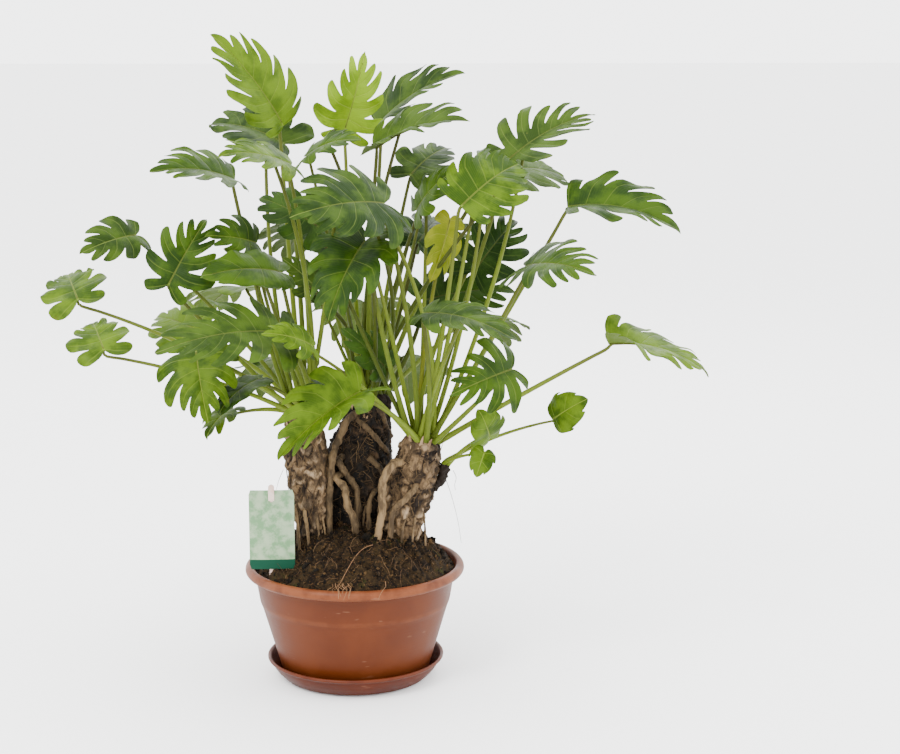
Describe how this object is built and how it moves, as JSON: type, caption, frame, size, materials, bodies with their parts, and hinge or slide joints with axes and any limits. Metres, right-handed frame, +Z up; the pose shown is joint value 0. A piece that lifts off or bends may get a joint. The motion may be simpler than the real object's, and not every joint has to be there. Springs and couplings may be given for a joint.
{
  "type": "potted philodendron plant",
  "caption": "Potted philodendron with lobed leaves on long stalks, stubby rooted trunks, a bowl pot of soil, a saucer and a blank tag.",
  "frame": {"origin": "middle of the saucer's flat underside", "axes": "+Z up, +X to the right and -Y towards someone in front of the plant"},
  "size_m": [0.8919, 0.6183, 0.8757],
  "materials": {
    "terracotta_plastic": "satin moulded plastic, terracotta brown, paler at the edges",
    "potting_soil": "loose dark brown potting soil with reddish fibres",
    "trunk_bark": "rough tan bark with pale leaf scars",
    "dark_trunk_bark": "dark fibrous bark with tan aerial roots",
    "tag_paper": "thin pale green card with a dark green foot band, blank",
    "stake_plastic": "pale pink plastic stake",
    "leaf_mid": "green leaf with a soft sheen and paler veins",
    "leaf_fresh": "fresh yellow-green leaf with a soft sheen",
    "leaf_young": "young pale yellow-green leaf",
    "leaf_dark": "dark green leaf with a soft sheen",
    "leaf_grey": "grey-green leaf that reflects the light",
    "leaf_old": "old leaf turned yellow"
  },
  "bodies": {
    "root": {"saucer": "terracotta_plastic", "pot": "terracotta_plastic", "soil": "potting_soil", "trunk_left": "trunk_bark", "trunk_middle": "dark_trunk_bark", "trunk_right": "trunk_bark", "tag_card": "tag_paper", "tag_stake": "stake_plastic", "leaf_top_left": "leaf_fresh", "leaf_top_young": "leaf_young", "leaf_top_behind": "leaf_grey", "leaf_top_centre": "leaf_grey", "leaf_upper_left_back": "leaf_grey", "leaf_upper_left": "leaf_mid", "leaf_upper_inner": "leaf_fresh", "leaf_upper_centre": "leaf_mid", "leaf_front_centre": "leaf_grey", "leaf_centre_hanging": "leaf_mid", "leaf_upper_right_front": "leaf_fresh", "leaf_upper_right": "leaf_grey", "leaf_upper_right_back": "leaf_grey", "leaf_far_right": "leaf_mid", "leaf_right": "leaf_mid", "leaf_right_back": "leaf_dark", "leaf_low_far_right": "leaf_fresh", "leaf_offshoot_right": "leaf_fresh", "leaf_offshoot_upper": "leaf_fresh", "leaf_offshoot_lower": "leaf_fresh", "leaf_low_right_star": "leaf_mid", "leaf_low_right_pale": "leaf_grey", "leaf_old": "leaf_old", "leaf_far_left_upper": "leaf_grey", "leaf_left_spiky": "leaf_mid", "leaf_left_inner": "leaf_mid", "leaf_left_smooth": "leaf_mid", "leaf_far_left": "leaf_fresh", "leaf_far_left_lower": "leaf_fresh", "leaf_left_back": "leaf_fresh", "leaf_left_hanging": "leaf_fresh", "leaf_left_large": "leaf_grey", "leaf_left_low": "leaf_fresh", "leaf_left_folded": "leaf_mid", "leaf_front_low": "leaf_fresh", "leaf_small_low": "leaf_mid", "leaf_inner_left": "leaf_grey", "leaf_inner_top": "leaf_dark", "leaf_inner_low": "leaf_dark", "leaf_inner_right_top": "leaf_grey", "leaf_inner_right": "leaf_dark", "leaf_right_inner_dark": "leaf_dark", "leaf_inner_left_top": "leaf_dark", "leaf_inner_right_middle": "leaf_mid", "leaf_low_centre": "leaf_fresh", "leaf_back_upper_left": "leaf_mid", "leaf_back_upper_right": "leaf_mid", "leaf_back_left": "leaf_fresh", "leaf_back_right": "leaf_mid", "leaf_back_middle": "leaf_fresh", "leaf_back_low_left": "leaf_mid", "leaf_back_low_right": "leaf_mid"}
  },
  "joints": []
}
